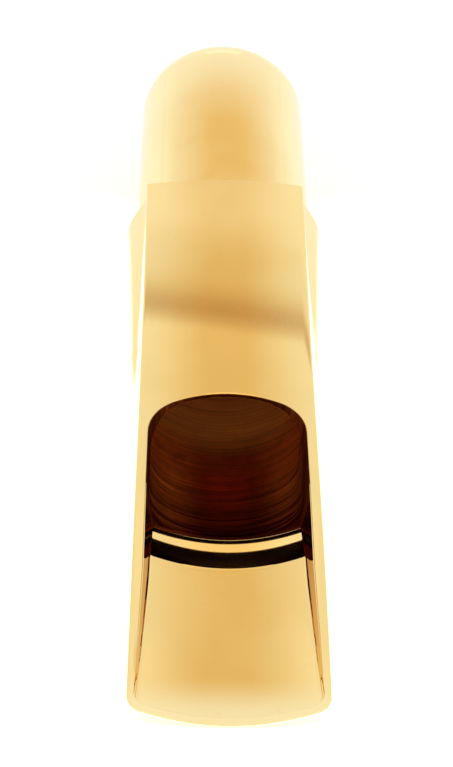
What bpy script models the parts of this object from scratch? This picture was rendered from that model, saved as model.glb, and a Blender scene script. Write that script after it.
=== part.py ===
"""Metal saxophone mouthpiece: a machined body, the neck tube brazed into it and a bite plate.

The mouthpiece lies on its back, with the reed table facing up (+Z) and the tip towards -Y.
Lengths are in millimetres here and become metres when a mesh is made. A station is a
distance from the tip along the bore, and a height is measured from the lowest line of the
body, so the object's origin is under the middle of its length.
"""
import math

import bmesh
import bpy
import numpy as np

COLLECTION = "saxophone_mouthpiece"
MM = 0.001
JOINT_GAP = 0.3

# Overall
LENGTH = 95.0
BODY_LENGTH = 67.2
BODY_RADIUS = 11.5
BODY_RADIUS_AT_TIP = 9.6
BELLY_FLAT_HALF = 2.0
SHANK_RADIUS = 10.0
BORE_RADIUS = 8.0

# Reed table, side rails and tip
TABLE_HALF_WIDTH = 8.5
WAIST_HALF_WIDTH = 8.3
WAIST_STATION = 22.0
TABLE_END_ARC = 40.0
TABLE_EDGE_ROUND = 0.25
TABLE_EDGE_SOFTNESS = 0.05
FACING_LENGTH = 24.0
TIP_OPENING = 2.6
TIP_ARC = 24.0
TIP_CORNER = 1.5
TIP_THICKNESS = 0.9
TIP_EDGE_LIFT = 0.4

# Beak
BEAK_LENGTH = 43.0
BEAK_BLEND = 4.5
BEAK_EDGE = 1.8
BEAK_CROWN = 0.8
CROWN_AT_TIP = 0.2
CROWN_RUN = 20.0

# Window
TIP_RAIL = 0.7
WINDOW_HALF_WIDTH = 7.35
WINDOW_HALF_AT_TIP = 7.75
WINDOW_FLARE_LENGTH = 14.0
WINDOW_CORNER = 1.0
WINDOW_LENGTH = 34.4
WINDOW_BACK_ARC = 11.5
WINDOW_BACK_CORNER = 4.2
WINDOW_WALL_DEPTH = 8.0
WINDOW_FRONT_BOW_LENGTH = 8.0
WALL_LEAN = 0.13
LIP_THICKNESS = 0.45
LIP_ROUNDING = 5.0

# Baffle and chamber
BAFFLE_DEPTH_AT_TIP = 2.6
BAFFLE_DEPTH_AT_STEP = 3.6
BAFFLE_EASE = 2.0
BAFFLE_TROUGH = 0.8
BAFFLE_FILLET = 0.25
STEP_STATION = 16.3
STEP_BOW = 0.9
STEP_SLOPE = 0.405
LEDGE_SLOPE = 0.22
LEDGE_CENTRE = 3.3
LEDGE_HALF_LENGTH = 0.70
STEP_ROUND_START = 4.3
STEP_RADIUS = 2.8
CHAMBER_RADIUS = 9.45
CHAMBER_END = 46.0
THROAT_END = 53.0
BEAK_WALL = 2.0

# Neck tube
SPIGOT_RADIUS = 9.1
SPIGOT_STATION = 58.0
END_ROUND_LENGTH = 3.0
END_ROUND_DEPTH = 1.3

# Bite plate, in the plane of the beak
PLATE_START = 4.8
PLATE_STRAIGHT = 24.0
PLATE_HALF_WIDTH = 5.6
PLATE_CORNER = 1.2
PLATE_POCKET_DEPTH = 1.3

# Cutters reach this far past the surfaces that they cut
CLEAR = 2.0

# Worked out from the dimensions above
AXIS_HEIGHT = math.sqrt(BODY_RADIUS ** 2 - BELLY_FLAT_HALF ** 2)
TABLE_HEIGHT = AXIS_HEIGHT + SHANK_RADIUS
BEAK_TOP = TABLE_HEIGHT - TIP_OPENING - TIP_THICKNESS
BEAK_SLOPE = BEAK_TOP / BEAK_LENGTH
BEAK_ANGLE = math.atan(BEAK_SLOPE)
SEGMENTS = 48


def blend(t):
    """Smooth step from 0 to 1 as t goes from 0 to 1."""
    t = min(max(t, 0.0), 1.0)
    return t * t * (3.0 - 2.0 * t)


def place(x, station, height):
    """World position in metres of a point given by its offset, station and height."""
    return (x * MM, (station - LENGTH / 2) * MM, height * MM)


# ---------------------------------------------------------------- collections and helpers

def clear_scene():
    for old in list(bpy.data.objects):
        bpy.data.objects.remove(old, do_unlink=True)


def make_collection(name):
    group = bpy.data.collections.new(name)
    bpy.context.scene.collection.children.link(group)
    return group


def make_material(name, colour, roughness, metallic):
    material = bpy.data.materials.new(name)
    material.use_nodes = True
    shader = material.node_tree.nodes["Principled BSDF"]
    shader.inputs["Base Color"].default_value = (*colour, 1.0)
    shader.inputs["Roughness"].default_value = roughness
    shader.inputs["Metallic"].default_value = metallic
    return material


def add_object(name, mesh, group):
    thing = bpy.data.objects.new(name, mesh)
    group.objects.link(thing)
    return thing


def as_cutter(thing):
    thing.hide_render = True
    thing.display_type = "WIRE"
    return thing


def loft(name, rings):
    """Skin through rings of equal length. A flat end is one face, and a bowed one is strips."""
    shape = bmesh.new()
    loops = [[shape.verts.new(point) for point in ring] for ring in rings]
    count = len(loops[0])
    for near, far in zip(loops, loops[1:]):
        for i in range(count):
            j = (i + 1) % count
            shape.faces.new((near[i], near[j], far[j], far[i]))
    for end in (loops[0], loops[-1]):
        if len({round(vert.co.y, 7) for vert in end}) == 1:
            shape.faces.new(end)
            continue
        for i in range(count // 2 - 1):
            shape.faces.new((end[i], end[i + 1], end[count - 2 - i], end[count - 1 - i]))
    bmesh.ops.recalc_face_normals(shape, faces=shape.faces)
    mesh = bpy.data.meshes.new(name)
    shape.to_mesh(mesh)
    shape.free()
    return mesh


def prism(name, outline, thickness, group):
    """Flat outline of (x, y) points in millimetres, extruded about its own plane."""
    curve = bpy.data.curves.new(name, "CURVE")
    curve.dimensions = "2D"
    curve.fill_mode = "BOTH"
    curve.extrude = thickness * MM / 2
    spline = curve.splines.new("POLY")
    spline.points.add(len(outline) - 1)
    for point, (x, y) in zip(spline.points, outline):
        point.co = (x * MM, y * MM, 0.0, 1.0)
    spline.use_cyclic_u = True
    sheet = add_object(name, curve, group)
    graph = bpy.context.evaluated_depsgraph_get()
    mesh = bpy.data.meshes.new_from_object(sheet.evaluated_get(graph))
    bpy.data.objects.remove(sheet, do_unlink=True)
    shape = bmesh.new()
    shape.from_mesh(mesh)
    bmesh.ops.remove_doubles(shape, verts=shape.verts, dist=1e-6)
    bmesh.ops.recalc_face_normals(shape, faces=shape.faces)
    shape.to_mesh(mesh)
    shape.free()
    return add_object(name, mesh, group)


def turned(name, profile, group):
    """Closed profile of (radius, station) points, turned about the bore axis."""
    mesh = bpy.data.meshes.new(name)
    points = [(radius * MM, 0.0, station * MM) for radius, station in profile]
    edges = [(i, (i + 1) % len(points)) for i in range(len(points))]
    mesh.from_pydata(points, edges, [])
    thing = add_object(name, mesh, group)
    thing.rotation_euler.x = -math.pi / 2
    thing.location = place(0.0, 0.0, AXIS_HEIGHT)
    screw = thing.modifiers.new("turn", "SCREW")
    screw.axis = "Z"
    screw.steps = SEGMENTS
    screw.render_steps = SEGMENTS
    screw.use_merge_vertices = True
    screw.merge_threshold = 1e-6
    screw.use_smooth_shade = True
    return thing


def rod(name, radius, start, end, group):
    """Plain cylinder on the bore axis, between two stations."""
    shape = bmesh.new()
    bmesh.ops.create_cone(shape, cap_ends=True, segments=SEGMENTS, radius1=radius * MM,
                          radius2=radius * MM, depth=(end - start) * MM)
    mesh = bpy.data.meshes.new(name)
    shape.to_mesh(mesh)
    shape.free()
    thing = add_object(name, mesh, group)
    thing.rotation_euler.x = -math.pi / 2
    thing.location = place(0.0, (start + end) / 2, AXIS_HEIGHT)
    return thing


def combine(thing, other, operation):
    boolean = thing.modifiers.new(operation.lower() + "_" + other.name, "BOOLEAN")
    boolean.operation = operation
    boolean.object = other
    boolean.solver = "EXACT"


def arc(centre, radius, start, end, count):
    """Points on a circle in degrees from start to end, both included."""
    angles = np.radians(np.linspace(start, end, count))
    return [(centre[0] + radius * math.cos(a), centre[1] + radius * math.sin(a)) for a in angles]


# ---------------------------------------------------------------- outer form of the body

def rail_height(station):
    """Top of the table and side rails, which curve away from the reed towards the tip."""
    lift_off = max(0.0, 1.0 - station / FACING_LENGTH)
    return TABLE_HEIGHT - TIP_OPENING * lift_off ** 2


def beak_height(station):
    """Underside of the body on the centre line: the beak's slope, then the level belly."""
    if station > BEAK_LENGTH + BEAK_BLEND:
        return 0.0
    if station > BEAK_LENGTH - BEAK_BLEND:
        return BEAK_SLOPE / (4 * BEAK_BLEND) * (BEAK_LENGTH + BEAK_BLEND - station) ** 2
    edge = max(0.0, 1.0 - station / TIP_CORNER)
    return BEAK_TOP - BEAK_SLOPE * station + TIP_EDGE_LIFT * edge ** 2


def table_half(station):
    """Half of the width over the rails, a little less at the waist of the window."""
    away = (station - WAIST_STATION) / (BODY_LENGTH - WAIST_STATION)
    return WAIST_HALF_WIDTH + (TABLE_HALF_WIDTH - WAIST_HALF_WIDTH) * away ** 2


def body_radius(station):
    taper = min(station / BEAK_LENGTH, 1.0)
    return BODY_RADIUS_AT_TIP + (BODY_RADIUS - BODY_RADIUS_AT_TIP) * taper


def flank_point(station, angle):
    """Point of the body's side at an angle above the bore axis: round, then upright."""
    x = body_radius(station) * math.cos(angle)
    rise = body_radius(station) * math.sin(angle)
    if angle > 0.0:
        upright = table_half(station)
        x = (x + upright + math.hypot(x - upright, TABLE_EDGE_SOFTNESS * rise)) / 2
    return (x, AXIS_HEIGHT + rise)


def crown(station, x):
    """Rise of the beak's surface away from its centre line, none on the belly's flat."""
    start = CROWN_AT_TIP + (1.0 - CROWN_AT_TIP) * blend(station / CROWN_RUN)
    fade = 1.0 - blend((station - BEAK_LENGTH + BEAK_BLEND) / (2 * BEAK_BLEND))
    return BEAK_CROWN * start * fade * (x / TABLE_HALF_WIDTH) ** 2


def beak_corner_angle(station, top_angle):
    """Angle at which the flank meets the underside, found by halving."""
    low = -math.pi / 2
    high = top_angle
    for _ in range(50):
        middle = (low + high) / 2
        x, height = flank_point(station, middle)
        if height > beak_height(station) + crown(station, x):
            high = middle
        else:
            low = middle
    return high


def resample(points, count, start_trim, end_trim):
    """Evenly spaced points along a line, leaving out a length at each end."""
    line = np.array(points)
    steps = np.hypot(*np.diff(line, axis=0).T)
    along = np.concatenate([[0.0], np.cumsum(steps)])
    wanted = np.linspace(start_trim, along[-1] - end_trim, count)
    return [(float(np.interp(t, along, line[:, 0])), float(np.interp(t, along, line[:, 1])))
            for t in wanted]


def round_corner(before, corner, after, count):
    """Points between two lines, on a parabola drawn towards their corner."""
    points = []
    for t in np.linspace(0.0, 1.0, count + 2)[1:-1]:
        near = (1 - t) ** 2
        middle = 2 * t * (1 - t)
        far = t ** 2
        points.append(tuple(near * b + middle * c + far * a
                            for b, c, a in zip(before, corner, after)))
    return points


FLANK_SAMPLES = 60
UNDERSIDE_SAMPLES = 12
CENTRE_STEP = 0.3


def body_ring(station):
    """One section of the body, from the table round the right side and back up the left."""
    shape_station = max(station, 0.0)
    rail = rail_height(shape_station)
    top_angle = math.asin((rail - AXIS_HEIGHT) / body_radius(shape_station))
    corner_angle = beak_corner_angle(shape_station, top_angle)
    flank = [flank_point(shape_station, angle)
             for angle in np.linspace(top_angle, corner_angle, FLANK_SAMPLES)]
    table = [(0.0, rail), flank[0]]
    corner_x = flank[-1][0]
    beak = beak_height(shape_station)
    under = [(x, beak + crown(shape_station, x))
             for x in np.linspace(corner_x, 0.0, UNDERSIDE_SAMPLES)]

    flank_length = sum(math.dist(a, b) for a, b in zip(flank, flank[1:]))
    table_round = min(TABLE_EDGE_ROUND, 0.2 * flank_length)
    beak_round = min(BEAK_EDGE, 0.4 * flank_length, 0.22 * corner_x)
    top = resample(table, 5, CENTRE_STEP, table_round)
    side = resample(flank, 15, table_round, beak_round)
    bottom = resample(under, 6, beak_round, CENTRE_STEP)
    half = (top + round_corner(top[-1], flank[0], side[0], 2) + side
            + round_corner(side[-1], flank[-1], bottom[0], 4) + bottom)
    right = [place(x, station, height) for x, height in half]
    left = [place(-x, station, height) for x, height in reversed(half)]
    return right + left


def body_blank(name):
    facing = list(np.linspace(0.0, FACING_LENGTH, 13))
    edge = [-1.0, 0.75]
    shoulder = list(np.linspace(BEAK_LENGTH - BEAK_BLEND, BEAK_LENGTH + BEAK_BLEND, 9))
    stations = sorted(edge + facing + [29.0, 34.0] + shoulder + [BODY_LENGTH + 1.0])
    return loft(name, [body_ring(station) for station in stations])


def table_end(x, growth):
    """Station of the body's back end, which is a shallow arc in plan."""
    return BODY_LENGTH + growth - (TABLE_END_ARC - math.sqrt(TABLE_END_ARC ** 2 - x ** 2))


def plan_outline(growth):
    """Plan of the body: the tip's arc with its round corners, and the arched back end."""
    inner = TIP_ARC - TIP_CORNER
    corner_x = table_half(0.0) - TIP_CORNER
    corner_y = TIP_ARC - math.sqrt(inner ** 2 - corner_x ** 2)
    swing = math.degrees(math.asin(corner_x / inner))
    wide = BODY_RADIUS + CLEAR
    right = arc((0.0, TIP_ARC), TIP_ARC, -90, -90 + swing, 12)[1:]
    right += arc((corner_x, corner_y), TIP_CORNER, -90 + swing, 0, 7)[1:]
    right += [(table_half(0.0) + CLEAR, corner_y + CLEAR), (wide, BEAK_LENGTH)]
    right += [(x, table_end(x, growth)) for x in np.linspace(wide, 0.0, 13)[:-1]]
    left = [(-x, y) for x, y in reversed(right)]
    return [(0.0, 0.0)] + right + [(0.0, table_end(0.0, growth))] + left


def plan_form(name, growth, group):
    form = prism(name, plan_outline(growth), 4 * BODY_RADIUS, group)
    form.location = place(0.0, 0.0, AXIS_HEIGHT)
    return as_cutter(form)


# ---------------------------------------------------------------- air passage

BACK_START = WINDOW_LENGTH - 5.5
LEDGE_END = STEP_STATION + STEP_ROUND_START


def window_half(station):
    """Half of the window's width at the rails or the table, a little more towards the tip."""
    narrowing = min(max(station / WINDOW_FLARE_LENGTH, 0.0), 1.0)
    return WINDOW_HALF_AT_TIP + (WINDOW_HALF_WIDTH - WINDOW_HALF_AT_TIP) * narrowing


def wall_half(station, half, level):
    """Half of the width between the side walls, which lean inward below the rails."""
    upright = blend((station - LEDGE_END) / (BACK_START - 2.0 - LEDGE_END))
    rise = level - (rail_height(station) - TABLE_HEIGHT)
    return half + WALL_LEAN * (1.0 - upright) * rise


def passage_half(station):
    """Half of the passage's width: the window's, then the chamber's, then the bore's."""
    chamber = WINDOW_HALF_WIDTH + (CHAMBER_RADIUS - WINDOW_HALF_WIDTH) * blend(
        (station - WINDOW_LENGTH) / (CHAMBER_END - WINDOW_LENGTH))
    throat = blend((station - CHAMBER_END) / (THROAT_END - CHAMBER_END))
    behind = chamber + (BORE_RADIUS - CHAMBER_RADIUS) * throat
    return window_half(station) if station < WINDOW_LENGTH else behind


def chamber_depths(station):
    """Depths below the table of the chamber's widest level and of its floor."""
    half = passage_half(station)
    round_height = half ** 2 / max(half, CHAMBER_RADIUS)
    sloping = TABLE_HEIGHT - beak_height(station) - BEAK_WALL
    floor = min(sloping, SHANK_RADIUS + max(half, BORE_RADIUS))
    if station > CHAMBER_END:
        round_height = half
        floor = SHANK_RADIUS + half
    return floor - round_height, floor


def chamber_floor(station, x):
    level, floor = chamber_depths(station)
    side = min(abs(x) / passage_half(station), 1.0)
    return -level - (floor - level) * math.sqrt(1.0 - side ** 2)


def chamber_ceiling(station, x):
    """Underside of the table: nearly flat behind the window, round further back."""
    level, _ = chamber_depths(station)
    half = passage_half(station)
    top = LIP_THICKNESS if station < CHAMBER_END else SHANK_RADIUS - half
    behind_window = blend((station - WINDOW_LENGTH) / (CHAMBER_END - WINDOW_LENGTH))
    power = LIP_ROUNDING + (2.0 - LIP_ROUNDING) * behind_window
    side = min(abs(x) / half, 1.0)
    return -level + (level - top) * (1.0 - side ** power) ** (1.0 / power)


def baffle_floor(station, x):
    """Baffle between the tip rail and the step: a shallow trough with filleted sides."""
    run = min(station / STEP_STATION, 1.0)
    eased = (math.hypot(run * STEP_STATION, BAFFLE_EASE) - BAFFLE_EASE) / STEP_STATION
    centre = BAFFLE_DEPTH_AT_TIP + (BAFFLE_DEPTH_AT_STEP - BAFFLE_DEPTH_AT_TIP) * eased
    half = wall_half(station, window_half(station), -centre)
    trough = BAFFLE_TROUGH * blend(run) * (x / half) ** 2
    into_fillet = min(max(0.0, abs(x) - (half - BAFFLE_FILLET)), BAFFLE_FILLET)
    fillet = BAFFLE_FILLET - math.sqrt(BAFFLE_FILLET ** 2 - into_fillet ** 2)
    return -centre + trough + fillet


def front_edge(x):
    """How far the window's front edge lies behind the middle of the tip rail."""
    inner = TIP_ARC - TIP_RAIL
    into_corner = max(0.0, abs(x) - (WINDOW_HALF_AT_TIP - WINDOW_CORNER))
    into_corner = min(into_corner, 0.97 * WINDOW_CORNER)
    corner = WINDOW_CORNER - math.sqrt(WINDOW_CORNER ** 2 - into_corner ** 2)
    return inner - math.sqrt(inner ** 2 - x ** 2) + corner


def step_bow(x):
    return STEP_BOW * (x / WINDOW_HALF_WIDTH) ** 2


PASSAGE_COLUMNS = [math.sin(math.radians(a)) for a in np.linspace(-85.0, 85.0, 18)]


def passage_ring(lower, upper):
    """Ring of (x, station, level) points: the floor, then the top on the way back."""
    return [place(x, station, TABLE_HEIGHT + level) for x, station, level in lower + upper[::-1]]


def open_ring(stations, floors, half, depth):
    """Ring between leaning walls that is open above the rails or the table."""
    middle = sum(stations) / len(stations)
    low = wall_half(middle, half, -depth)
    high = wall_half(middle, half, CLEAR)
    lower = [(column * low, station, floor)
             for column, station, floor in zip(PASSAGE_COLUMNS, stations, floors)]
    upper = [(column * high, station, CLEAR)
             for column, station in zip(PASSAGE_COLUMNS, stations)]
    return passage_ring(lower, upper)


def baffle_rings():
    """Sections of the passage over the baffle."""
    rings = []
    for start in (TIP_RAIL, 1.6, 3.0, 5.0, 8.0, 11.0, 14.0, STEP_STATION):
        front = max(0.0, 1.0 - (start - TIP_RAIL) / WINDOW_FRONT_BOW_LENGTH)
        back = blend(start / STEP_STATION)
        half = window_half(start)
        depth = -baffle_floor(start, 0.0)
        offsets = [column * half for column in PASSAGE_COLUMNS]
        stations = [start + front * front_edge(x) + back * step_bow(x) for x in offsets]
        low = wall_half(start, half, -depth)
        floors = [baffle_floor(s, column * low) for column, s in zip(PASSAGE_COLUMNS, stations)]
        rings.append(open_ring(stations, floors, half, depth))
    return rings


def step_profile():
    """Run and drop behind the baffle's edge: a slope with a ledge in it, then a round fall."""
    points = []
    for run in np.linspace(0.0, STEP_ROUND_START, 9)[1:]:
        reached = (math.erf((run - LEDGE_CENTRE) / LEDGE_HALF_LENGTH)
                   + math.erf(LEDGE_CENTRE / LEDGE_HALF_LENGTH))
        saved = (STEP_SLOPE - LEDGE_SLOPE) * LEDGE_HALF_LENGTH * math.sqrt(math.pi) / 2 * reached
        points.append((run, STEP_SLOPE * run - saved))
    last_run, last_drop = points[-1]
    start = math.atan(STEP_SLOPE)
    for angle in np.linspace(start, math.radians(84.0), 7)[1:]:
        points.append((last_run + STEP_RADIUS * (math.sin(angle) - math.sin(start)),
                       last_drop + STEP_RADIUS * (math.cos(start) - math.cos(angle))))
    return points


def step_rings():
    """Sections over the slope, the ledge and the round fall into the chamber."""
    rings = []
    offsets = [column * WINDOW_HALF_WIDTH for column in PASSAGE_COLUMNS]
    low = wall_half(STEP_STATION, WINDOW_HALF_WIDTH, -BAFFLE_DEPTH_AT_STEP)
    edge = [baffle_floor(STEP_STATION, column * low) for column in PASSAGE_COLUMNS]
    for run, drop in step_profile():
        stations = [STEP_STATION + run + step_bow(x) for x in offsets]
        floors = [max(level - drop, chamber_floor(s, x))
                  for level, s, x in zip(edge, stations, offsets)]
        depth = BAFFLE_DEPTH_AT_STEP + drop
        rings.append(open_ring(stations, floors, WINDOW_HALF_WIDTH, depth))
    return rings


def chamber_rings():
    """Sections of the chamber: open up to the window's back, then closed, then the bore."""
    rings = []
    behind_step = STEP_STATION + step_profile()[-1][0] + STEP_BOW + 0.1
    open_stations = [behind_step, 25.3, BACK_START - 2.0, BACK_START - 0.05]
    closed = [BACK_START, 32.0, WINDOW_LENGTH, 37.0, 39.0, 41.0, 43.5, CHAMBER_END]
    throat = list(np.linspace(CHAMBER_END, THROAT_END, 7)[1:])
    for station in open_stations + closed + throat + [SPIGOT_STATION]:
        half = passage_half(station)
        offsets = [column * half for column in PASSAGE_COLUMNS]
        floors = [chamber_floor(station, x) for x in offsets]
        if station < BACK_START:
            level, _ = chamber_depths(station)
            rings.append(open_ring([station] * len(offsets), floors, half, level))
            continue
        lower = [(x, station, floor) for x, floor in zip(offsets, floors)]
        upper = [(x, station, chamber_ceiling(station, x)) for x in offsets]
        rings.append(passage_ring(lower, upper))
    return rings


def passage(group):
    """Form of the air, in triangles because its leaning walls are twisted."""
    mesh = loft("air_passage", baffle_rings() + step_rings() + chamber_rings())
    shape = bmesh.new()
    shape.from_mesh(mesh)
    bmesh.ops.triangulate(shape, faces=shape.faces)
    shape.to_mesh(mesh)
    shape.free()
    return as_cutter(add_object("air_passage", mesh, group))


def window_back(group):
    """Back end of the window: a shallow arc between round corners, cut straight down."""
    inset = 0.02
    half = WINDOW_HALF_WIDTH * PASSAGE_COLUMNS[-1] - inset
    inner = WINDOW_BACK_ARC - WINDOW_BACK_CORNER
    centre_y = WINDOW_LENGTH - WINDOW_BACK_ARC
    corner_x = half - WINDOW_BACK_CORNER
    corner_y = centre_y + math.sqrt(inner ** 2 - corner_x ** 2)
    swing = math.degrees(math.asin(corner_x / inner))
    right = [(half, BACK_START - 1.0)]
    right += arc((corner_x, corner_y), WINDOW_BACK_CORNER, 0, 90 - swing, 7)
    right += arc((0.0, centre_y), WINDOW_BACK_ARC, 90 - swing, 90, 9)[1:-1]
    left = [(-x, y) for x, y in reversed(right)]
    height = WINDOW_WALL_DEPTH + CLEAR
    cutter = prism("window_back", right + [(0.0, WINDOW_LENGTH)] + left, height, group)
    cutter.location = place(0.0, 0.0, TABLE_HEIGHT + CLEAR - height / 2)
    return as_cutter(cutter)


# ---------------------------------------------------------------- bite plate

def plate_outline(growth):
    """Tongue shape in the plane of the beak: arched front, straight sides, round back."""
    half = PLATE_HALF_WIDTH + growth
    corner = PLATE_CORNER + growth
    start = PLATE_START - growth
    corner_y = start + corner + PLATE_CORNER / 3
    outline = arc((half - corner, corner_y), corner, -70, 0, 5)
    outline += arc((0.0, PLATE_STRAIGHT), half, 0, 180, 25)
    outline += arc((corner - half, corner_y), corner, 180, 250, 5)
    return outline + [(0.0, start)]


def plate_prism(name, growth, depth, group):
    """Prism over the plate's outline, from outside the beak to a depth inside it."""
    form = prism(name, plate_outline(growth), CLEAR + depth, group)
    form.rotation_euler.x = -BEAK_ANGLE
    lift = (depth - CLEAR) / 2
    form.location = place(0.0, lift * math.sin(BEAK_ANGLE),
                          BEAK_TOP + lift * math.cos(BEAK_ANGLE))
    return form


# ---------------------------------------------------------------- pieces

def make_body(parts, cutters, gold):
    body = add_object("body", body_blank("body"), parts)
    combine(body, plan_form("body_plan", 0.0, cutters), "INTERSECT")
    combine(body, passage(cutters), "DIFFERENCE")
    combine(body, window_back(cutters), "DIFFERENCE")
    socket = rod("spigot_socket", SPIGOT_RADIUS + JOINT_GAP, SPIGOT_STATION - JOINT_GAP,
                 BODY_LENGTH + CLEAR, cutters)
    combine(body, as_cutter(socket), "DIFFERENCE")
    pocket = plate_prism("plate_pocket", 0.0, PLATE_POCKET_DEPTH, cutters)
    combine(body, as_cutter(pocket), "DIFFERENCE")
    body.data.materials.append(gold)
    return body


def make_shank(parts, cutters, gold):
    """Neck tube: a turned sleeve fitted to the body's end, with a spigot inside the body."""
    start = BODY_LENGTH - 6.0
    round_start = LENGTH - END_ROUND_LENGTH
    inside = BORE_RADIUS - CLEAR
    profile = [(inside, LENGTH)]
    for angle in np.radians(np.linspace(90.0, 0.0, 7)):
        radius = SHANK_RADIUS - END_ROUND_DEPTH * (1.0 - math.cos(angle))
        profile.append((radius, round_start + END_ROUND_LENGTH * math.sin(angle)))
    profile += [(SHANK_RADIUS, start), (inside, start)]
    shank = turned("shank", profile, parts)
    combine(shank, plan_form("body_end", JOINT_GAP, cutters), "DIFFERENCE")
    spigot = rod("spigot", SPIGOT_RADIUS, SPIGOT_STATION, BODY_LENGTH + 2 * CLEAR, cutters)
    combine(shank, as_cutter(spigot), "UNION")
    bore = rod("neck_bore", BORE_RADIUS, SPIGOT_STATION - CLEAR, LENGTH + CLEAR, cutters)
    combine(shank, as_cutter(bore), "DIFFERENCE")
    shank.data.materials.append(gold)
    return shank


def make_bite_plate(parts, cutters, ebonite):
    """Plate let into the beak, its outer face following the beak's own surface."""
    blank = as_cutter(add_object("beak_form", body_blank("beak_form"), cutters))
    plate = plate_prism("bite_plate", -JOINT_GAP, PLATE_POCKET_DEPTH - JOINT_GAP, parts)
    combine(plate, blank, "INTERSECT")
    plate.data.materials.append(ebonite)
    return plate


def build():
    clear_scene()
    parts = make_collection(COLLECTION)
    cutters = make_collection("cutters")
    make_body(parts, cutters, make_material("gold_plate_body", (0.90, 0.66, 0.30), 0.12, 1.0))
    make_shank(parts, cutters, make_material("gold_plate_shank", (0.90, 0.66, 0.30), 0.16, 1.0))
    make_bite_plate(parts, cutters, make_material("hard_rubber", (0.02, 0.02, 0.02), 0.45, 0.0))


build()
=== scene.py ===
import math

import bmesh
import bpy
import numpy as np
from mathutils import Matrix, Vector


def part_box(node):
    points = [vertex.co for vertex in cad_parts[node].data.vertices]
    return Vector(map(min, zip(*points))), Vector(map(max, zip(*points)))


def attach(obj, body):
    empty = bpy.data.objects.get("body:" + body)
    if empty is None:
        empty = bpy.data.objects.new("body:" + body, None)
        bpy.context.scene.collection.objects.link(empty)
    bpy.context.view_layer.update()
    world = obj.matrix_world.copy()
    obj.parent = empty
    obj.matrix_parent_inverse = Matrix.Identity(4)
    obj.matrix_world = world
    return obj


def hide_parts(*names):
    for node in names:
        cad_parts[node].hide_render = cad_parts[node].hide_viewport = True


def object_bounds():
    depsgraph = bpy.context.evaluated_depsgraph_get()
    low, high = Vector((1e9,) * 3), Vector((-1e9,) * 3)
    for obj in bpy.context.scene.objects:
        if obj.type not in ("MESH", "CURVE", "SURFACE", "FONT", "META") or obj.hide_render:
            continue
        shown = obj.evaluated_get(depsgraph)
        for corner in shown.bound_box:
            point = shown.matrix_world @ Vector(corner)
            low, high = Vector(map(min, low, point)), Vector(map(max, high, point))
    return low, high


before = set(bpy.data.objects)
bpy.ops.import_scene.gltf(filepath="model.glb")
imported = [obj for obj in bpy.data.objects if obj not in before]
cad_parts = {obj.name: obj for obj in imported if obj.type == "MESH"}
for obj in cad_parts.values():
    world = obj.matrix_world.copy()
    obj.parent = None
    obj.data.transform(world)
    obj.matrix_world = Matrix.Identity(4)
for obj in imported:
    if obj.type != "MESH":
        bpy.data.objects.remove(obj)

# Looks of a gold-plated saxophone mouthpiece that lies on its back, its reed table up.
# The three CAD nodes are replaced by finer pieces of the same form, with rounded edges,
# machining rings in the chamber, a braze seam and a glue line. Lengths are in
# millimetres until a mesh is made. A station is a distance from the tip along the bore,
# and a height is measured from the lowest line of the body.

CAD_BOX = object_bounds()
MM = 0.001

# Sizes read from the frame
BODY_LOW, BODY_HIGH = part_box("body")
SHANK_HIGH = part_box("shank")[1]
LENGTH = (CAD_BOX[1].y - CAD_BOX[0].y) / MM
BODY_LENGTH = (BODY_HIGH.y - BODY_LOW.y) / MM
BODY_RADIUS = BODY_HIGH.x / MM
TABLE_HEIGHT = BODY_HIGH.z / MM
SHANK_RADIUS = SHANK_HIGH.x / MM
AXIS_HEIGHT = TABLE_HEIGHT - SHANK_RADIUS

# The same driving dimensions as the CAD part
BODY_RADIUS_AT_TIP = 9.6
BORE_RADIUS = 8.0
TABLE_HALF_WIDTH = 8.5
WAIST_HALF_WIDTH = 8.3
WAIST_STATION = 22.0
TABLE_END_ARC = 40.0
TABLE_EDGE_ROUND = 0.25
TABLE_EDGE_SOFTNESS = 0.05
FACING_LENGTH = 24.0
TIP_OPENING = 2.6
TIP_ARC = 24.0
TIP_CORNER = 1.5
TIP_THICKNESS = 0.9
TIP_EDGE_LIFT = 0.4
BEAK_LENGTH = 43.0
BEAK_BLEND = 4.5
BEAK_EDGE = 1.8
BEAK_CROWN = 0.8
CROWN_AT_TIP = 0.2
CROWN_RUN = 20.0
TIP_RAIL = 0.7
WINDOW_HALF_WIDTH = 7.35
WINDOW_HALF_AT_TIP = 7.75
WINDOW_FLARE_LENGTH = 14.0
WINDOW_CORNER = 1.0
WINDOW_LENGTH = 34.4
WINDOW_BACK_ARC = 11.5
WINDOW_BACK_CORNER = 4.2
WALL_LEAN = 0.13
WINDOW_WALL_DEPTH = 8.0
WINDOW_FRONT_BOW_LENGTH = 8.0
LIP_THICKNESS = 0.45
LIP_ROUNDING = 5.0
BAFFLE_DEPTH_AT_TIP = 2.6
BAFFLE_DEPTH_AT_STEP = 3.6
BAFFLE_EASE = 2.0
STEP_STATION = 16.3
STEP_BOW = 0.9
STEP_SLOPE = 0.405
LEDGE_SLOPE = 0.22
LEDGE_CENTRE = 3.3
LEDGE_HALF_LENGTH = 0.70
STEP_ROUND_START = 4.3
STEP_RADIUS = 2.8
BAFFLE_TROUGH = 0.8
BAFFLE_FILLET = 0.25
CHAMBER_RADIUS = 9.45
CHAMBER_END = 46.0
THROAT_END = 53.0
BEAK_WALL = 2.0
SPIGOT_RADIUS = 9.1
SPIGOT_STATION = 58.0
END_ROUND_LENGTH = 3.0
END_ROUND_DEPTH = 1.3
PLATE_START = 4.8
PLATE_STRAIGHT = 24.0
PLATE_HALF_WIDTH = 5.6
PLATE_CORNER = 1.2
PLATE_POCKET_DEPTH = 1.3
BEAK_TOP = TABLE_HEIGHT - TIP_OPENING - TIP_THICKNESS
BEAK_SLOPE = BEAK_TOP / BEAK_LENGTH
BEAK_ANGLE = math.atan(BEAK_SLOPE)

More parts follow.
